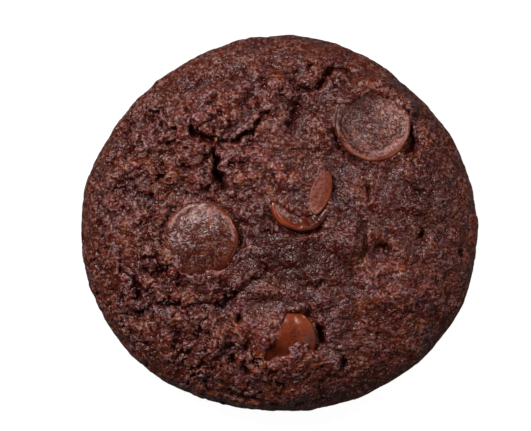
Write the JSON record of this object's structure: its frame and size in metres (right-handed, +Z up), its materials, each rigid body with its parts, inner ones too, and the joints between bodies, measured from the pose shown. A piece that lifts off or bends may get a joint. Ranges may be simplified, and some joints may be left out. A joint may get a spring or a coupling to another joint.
{
  "type": "double chocolate cookie",
  "caption": "Round thick cookie with a domed, creased top, a rounded side and a flat underside, with round chocolate chips and a leaf-shaped flake sunk in its top.",
  "frame": {"origin": "middle of the flat underside, under the centre of the outline", "axes": "+Z up out of the domed top, +X along the widest way across, +Y towards the far side"},
  "size_m": [0.068, 0.0646, 0.0169],
  "materials": {
    "dough": "matt, crumbly baked cocoa dough",
    "chocolate": "satin chocolate with a smooth rim"
  },
  "bodies": {
    "root": {"cookie": "dough", "chip_upper_right": "chocolate", "chip_left": "chocolate", "chip_lower": "chocolate", "chip_centre": "chocolate", "chip_flake": "chocolate"}
  },
  "joints": []
}
